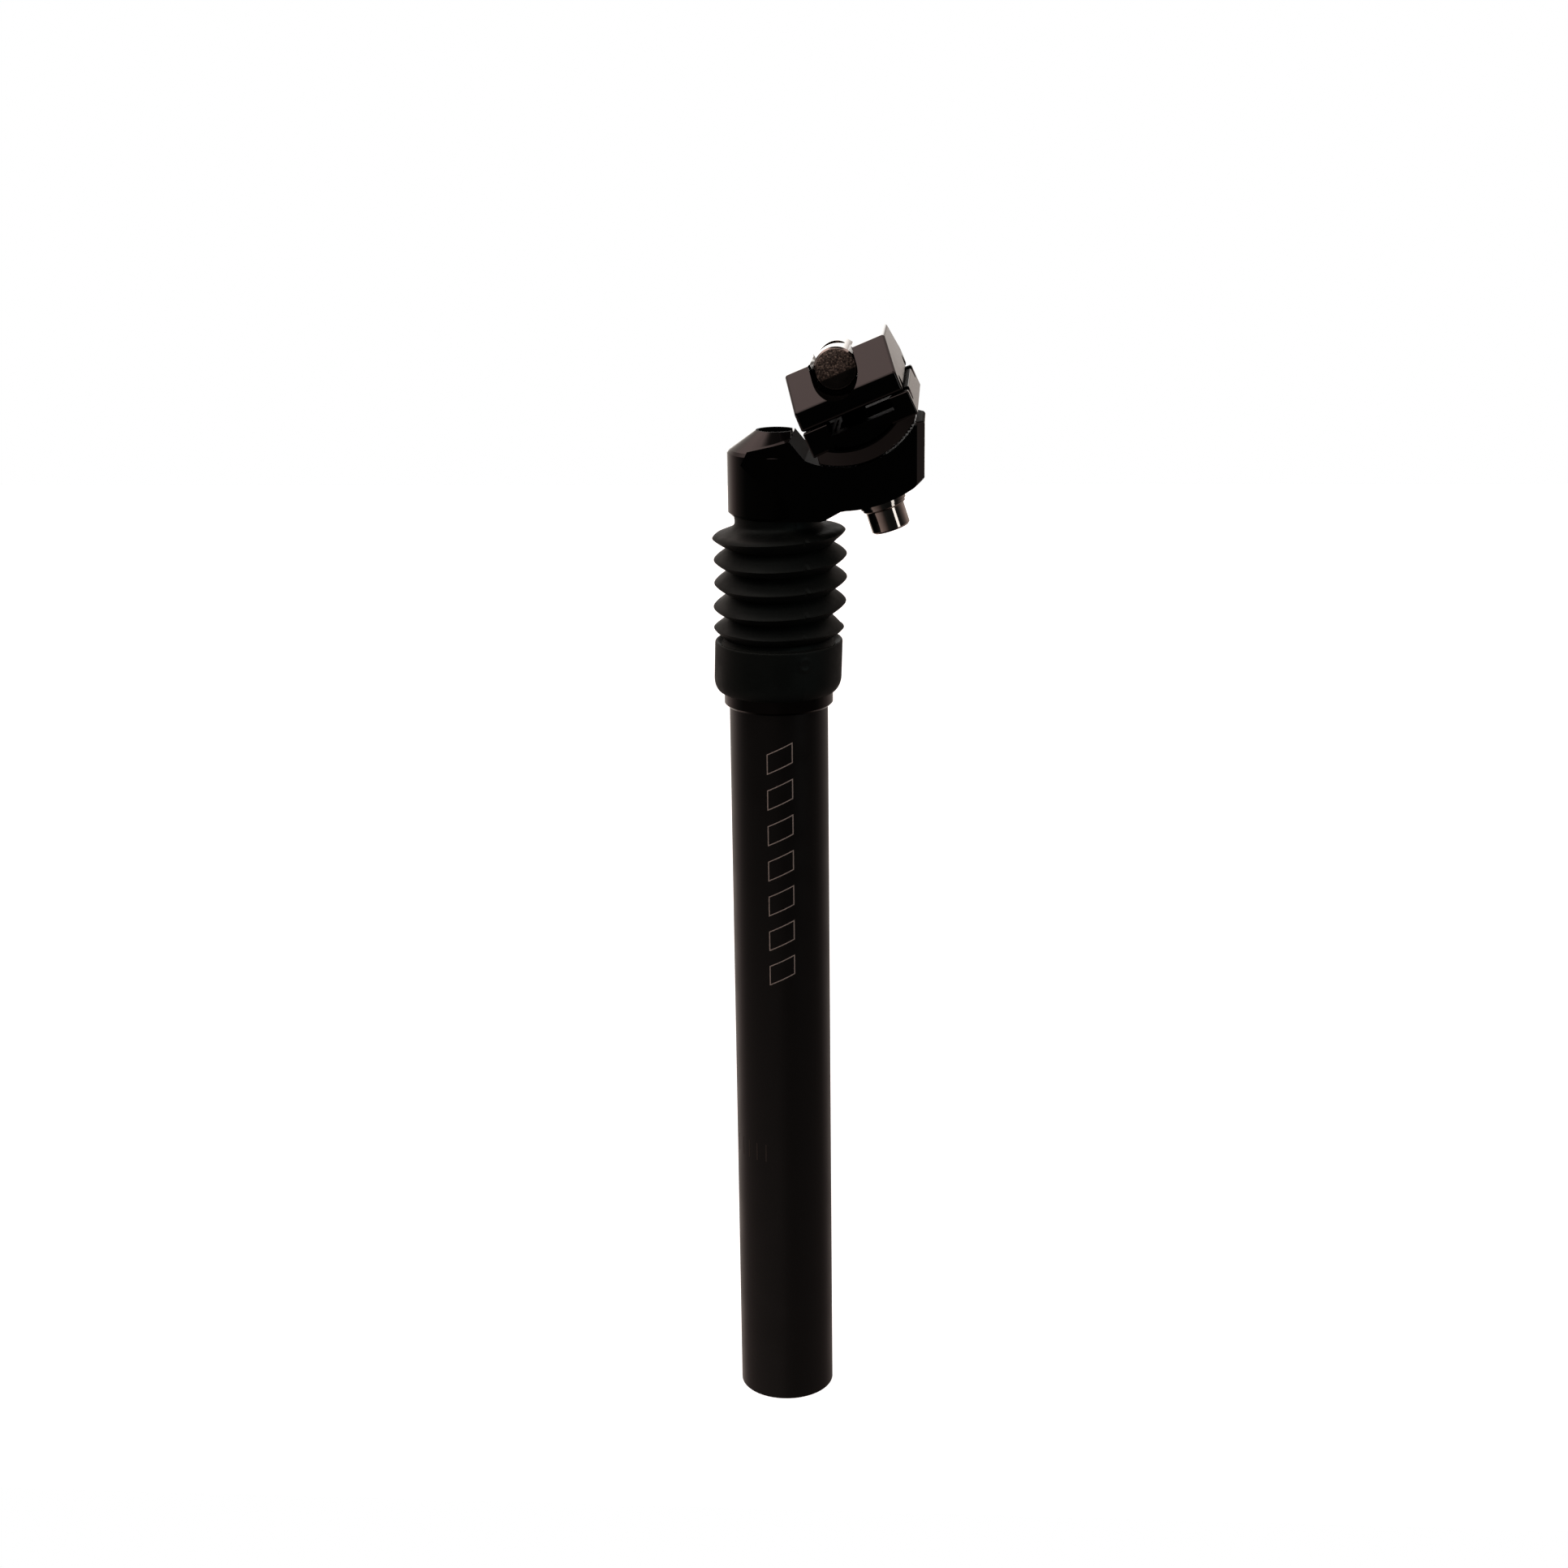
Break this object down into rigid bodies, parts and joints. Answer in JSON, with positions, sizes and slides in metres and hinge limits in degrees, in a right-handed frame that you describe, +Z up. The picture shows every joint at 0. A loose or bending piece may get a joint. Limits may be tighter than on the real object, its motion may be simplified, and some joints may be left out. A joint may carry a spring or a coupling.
{
  "type": "suspension_seatpost",
  "caption": "Telescopic bicycle suspension seatpost: satin black tube, ribbed rubber boot, gloss black setback head and tilting one-bolt saddle rail clamp",
  "frame": {"origin": "Centre of the outer tube's open lower end, on the post's axis", "axes": "+Z up along the post, +X towards the rear of the bicycle, +Y to the bicycle's left"},
  "size_m": [0.0579, 0.056, 0.3111],
  "materials": {
    "satin_black_tube": "satin anodised, fine grain",
    "gloss_black_alloy": "high gloss over a forging",
    "boot_rubber": "moulded, matte",
    "seal_rubber": "smooth",
    "elastomer": "cast urethane",
    "guide_plastic": "moulded acetal",
    "anodised_shaft": "hard anodised, ground",
    "bare_aluminium": "turned",
    "spring_steel": "oiled wire",
    "pin_steel": "ground",
    "chrome_steel": "plated"
  },
  "bodies": {
    "tube": {"outer_tube": "satin_black_tube", "retaining_collar": "gloss_black_alloy", "upper_bushing": "guide_plastic", "anti_rotation_pins": "pin_steel", "wiper_seal": "seal_rubber", "rubber_boot": "boot_rubber", "main_spring": "spring_steel"},
    "shaft": {"inner_shaft": "anodised_shaft", "head": "gloss_black_alloy", "lower_bushing": "guide_plastic", "bushing_circlip": "spring_steel", "top_out_bumper": "elastomer", "shaft_foot": "bare_aluminium"},
    "rocker": {"lower_clamp": "gloss_black_alloy", "curved_washer": "chrome_steel", "bolt_washer": "chrome_steel"},
    "bolt": {"clamp_bolt": "chrome_steel"},
    "nut": {"barrel_nut": "chrome_steel"},
    "cap": {"upper_clamp": "gloss_black_alloy"},
    "preload_seat": {"spring_seat": "bare_aluminium", "elastomer_core": "elastomer"},
    "preload_screw": {"preload_plug": "bare_aluminium", "plug_o_ring": "seal_rubber"}
  },
  "joints": [
    {"name": "suspension_travel", "type": "slide", "parent": "tube", "child": "shaft", "axis": [0, 0, -1], "range_m": [0, 0.022], "stiffness_N_per_m": 15000, "springref_m": -0.01, "deforming": ["rubber_boot", "main_spring"]},
    {"name": "saddle_tilt", "type": "hinge", "parent": "shaft", "child": "rocker", "pos_m": [0.0177, 0, 0.2992], "axis": [0, 1, 0], "range_deg": [-4, 7]},
    {"name": "clamp_bolt_turn", "type": "hinge", "parent": "rocker", "child": "bolt", "pos_m": [0.0177, 0, 0.2992], "axis": [-0.309, 0, 0.9511], "range_deg": [-1440, 0]},
    {"name": "nut_lift", "type": "slide", "parent": "rocker", "child": "nut", "axis": [-0.309, 0, 0.9511], "range_m": [0, 0.004]},
    {"name": "cap_rock", "type": "hinge", "parent": "nut", "child": "cap", "pos_m": [0.01674, 0, 0.30215], "axis": [0, 1, 0], "range_deg": [-1, 1]},
    {"name": "preload_travel", "type": "slide", "parent": "tube", "child": "preload_seat", "axis": [0, 0, 1], "range_m": [0, 0.008], "deforming": ["main_spring"]},
    {"name": "preload_turn", "type": "hinge", "parent": "preload_seat", "child": "preload_screw", "pos_m": [0, 0, 0.012], "axis": [0, 0, 1], "range_deg": [0, 2880]}
  ],
  "couplings": [
    {"joint": "clamp_bolt_turn", "follows": "nut_lift", "rad_per_m": -6283.2},
    {"joint": "preload_turn", "follows": "preload_travel", "rad_per_m": 6283.2}
  ]
}
